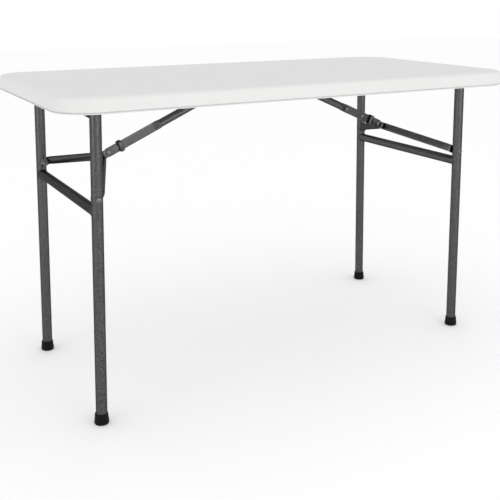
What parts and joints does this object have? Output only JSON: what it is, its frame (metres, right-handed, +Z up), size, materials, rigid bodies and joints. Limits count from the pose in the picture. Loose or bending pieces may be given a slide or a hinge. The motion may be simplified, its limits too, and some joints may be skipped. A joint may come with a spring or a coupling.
{
  "type": "folding table",
  "caption": "Rectangular moulded-top utility table whose two round-tube leg frames fold flat under the top, each held open by a V brace, a link and a sliding lock ring.",
  "frame": {"origin": "on the floor under the middle of the top", "axes": "+X along the top's length, +Y across it from the front, +Z up"},
  "size_m": [1.2192, 0.6096, 0.7366],
  "materials": {
    "white_polyethylene": "moulded, fine pebbled texture",
    "grey_powder_coat": "hammered grey powder coat, semi-gloss",
    "black_rubber": "matt",
    "black_nylon": "satin",
    "zinc_steel": "bright zinc plate"
  },
  "bodies": {
    "tabletop_frame": {"tabletop": "white_polyethylene", "right_bearing_front": "black_nylon", "right_anchor_front": "black_nylon", "right_bearing_back": "black_nylon", "right_anchor_back": "black_nylon", "right_bearing_screws": "zinc_steel", "right_anchor_screws": "zinc_steel", "right_anchor_rod": "zinc_steel", "left_bearing_front": "black_nylon", "left_anchor_front": "black_nylon", "left_bearing_back": "black_nylon", "left_anchor_back": "black_nylon", "left_bearing_screws": "zinc_steel", "left_anchor_screws": "zinc_steel", "left_anchor_rod": "zinc_steel"},
    "right_leg_frame": {"right_pivot_tube": "grey_powder_coat", "right_crossbar": "grey_powder_coat", "right_leg_front": "grey_powder_coat", "right_foot_cap_front": "black_rubber", "right_leg_back": "grey_powder_coat", "right_foot_cap_back": "black_rubber", "right_leg_rivets": "zinc_steel"},
    "right_link": {"right_brace_link": "grey_powder_coat", "right_link_rivets": "zinc_steel"},
    "right_v_brace": {"right_v_arm_front": "grey_powder_coat", "right_v_arm_back": "grey_powder_coat", "right_knuckle_rivet": "zinc_steel", "right_tab_rivets": "zinc_steel"},
    "right_ring": {"right_lock_ring": "grey_powder_coat"},
    "left_leg_frame": {"left_pivot_tube": "grey_powder_coat", "left_crossbar": "grey_powder_coat", "left_leg_front": "grey_powder_coat", "left_foot_cap_front": "black_rubber", "left_leg_back": "grey_powder_coat", "left_foot_cap_back": "black_rubber", "left_leg_rivets": "zinc_steel"},
    "left_link": {"left_brace_link": "grey_powder_coat", "left_link_rivets": "zinc_steel"},
    "left_v_brace": {"left_v_arm_front": "grey_powder_coat", "left_v_arm_back": "grey_powder_coat", "left_knuckle_rivet": "zinc_steel", "left_tab_rivets": "zinc_steel"},
    "left_ring": {"left_lock_ring": "grey_powder_coat"}
  },
  "joints": [
    {"name": "right_leg_fold", "type": "hinge", "parent": "tabletop_frame", "child": "right_leg_frame", "pos_m": [0.52166, 0.024, 0.696], "axis": [0, 1, 0], "range_deg": [0, 90]},
    {"name": "right_link_turn", "type": "hinge", "parent": "tabletop_frame", "child": "right_link", "pos_m": [0.08336, 0.024, 0.7155], "axis": [0, -1, 0], "range_deg": [0, 24]},
    {"name": "right_v_turn", "type": "hinge", "parent": "right_link", "child": "right_v_brace", "pos_m": [0.42047, 0.024, 0.56541], "axis": [0, 1, 0], "range_deg": [0, 165.56]},
    {"name": "right_ring_slide", "type": "slide", "parent": "right_link", "child": "right_ring", "axis": [-0.9135, 0, 0.4067], "range_m": [0, 0.06]},
    {"name": "left_leg_fold", "type": "hinge", "parent": "tabletop_frame", "child": "left_leg_frame", "pos_m": [-0.52166, -0.024, 0.696], "axis": [0, -1, 0], "range_deg": [0, 90]},
    {"name": "left_link_turn", "type": "hinge", "parent": "tabletop_frame", "child": "left_link", "pos_m": [-0.08336, -0.024, 0.7155], "axis": [0, 1, 0], "range_deg": [0, 24]},
    {"name": "left_v_turn", "type": "hinge", "parent": "left_link", "child": "left_v_brace", "pos_m": [-0.42047, -0.024, 0.56541], "axis": [0, -1, 0], "range_deg": [0, 165.56]},
    {"name": "left_ring_slide", "type": "slide", "parent": "left_link", "child": "left_ring", "axis": [0.9135, 0, 0.4067], "range_m": [0, 0.06]}
  ],
  "couplings": [
    {"joint": "right_link_turn", "follows": "right_leg_fold", "ratio": 0.26667},
    {"joint": "right_v_turn", "follows": "right_leg_fold", "ratio": 1.8396},
    {"joint": "right_ring_slide", "follows": "right_leg_fold", "m_per_rad": 0.038197},
    {"joint": "left_link_turn", "follows": "left_leg_fold", "ratio": 0.26667},
    {"joint": "left_v_turn", "follows": "left_leg_fold", "ratio": 1.8396},
    {"joint": "left_ring_slide", "follows": "left_leg_fold", "m_per_rad": 0.038197}
  ]
}
